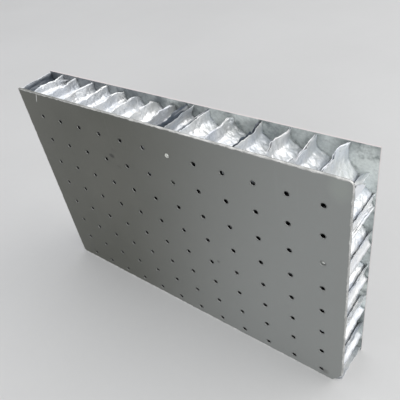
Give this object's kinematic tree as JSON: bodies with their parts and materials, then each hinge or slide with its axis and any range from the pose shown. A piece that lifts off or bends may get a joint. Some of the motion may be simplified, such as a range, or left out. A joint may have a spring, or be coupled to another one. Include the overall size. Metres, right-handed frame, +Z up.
{
  "type": "aluminium honeycomb panel",
  "caption": "Perforated aluminium honeycomb sandwich panel: a sawn sample with a painted front skin, a plain back skin and a folded foil core that is open at its edges.",
  "frame": {"origin": "middle of the lower edge: the centre of the panel's length and thickness, at the surface that it stands on", "axes": "+X along the length, to the right as seen from the front; +Y through the thickness, from the perforated front skin to the back skin; +Z up"},
  "size_m": [0.203, 0.025, 0.132],
  "materials": {
    "painted_skin": "satin grey coil coating, with bare cut edges",
    "mill_skin": "mill finish",
    "bond_film": "cured adhesive film, semi-gloss",
    "foil": "bright rolled foil"
  },
  "bodies": {
    "root": {"front_skin": "painted_skin", "front_film": "bond_film", "back_film": "bond_film", "back_skin": "mill_skin", "left_end_foil": "foil", "foil_ribbon_01": "foil", "foil_ribbon_02": "foil", "foil_ribbon_03": "foil", "foil_ribbon_04": "foil", "foil_ribbon_05": "foil", "foil_ribbon_06": "foil", "foil_ribbon_07": "foil", "foil_ribbon_08": "foil", "foil_ribbon_09": "foil", "foil_ribbon_10": "foil", "foil_ribbon_11": "foil", "foil_ribbon_12": "foil", "foil_ribbon_13": "foil", "foil_ribbon_14": "foil", "foil_ribbon_15": "foil", "foil_ribbon_16": "foil", "foil_ribbon_17": "foil", "foil_ribbon_18": "foil", "foil_ribbon_19": "foil", "foil_ribbon_20": "foil", "foil_ribbon_21": "foil", "foil_ribbon_22": "foil", "foil_ribbon_23": "foil", "foil_ribbon_24": "foil", "foil_ribbon_25": "foil", "foil_ribbon_26": "foil", "foil_ribbon_27": "foil", "foil_ribbon_28": "foil", "foil_ribbon_29": "foil", "foil_ribbon_30": "foil", "right_torn_foil": "foil", "right_end_foil": "foil"}
  },
  "joints": []
}
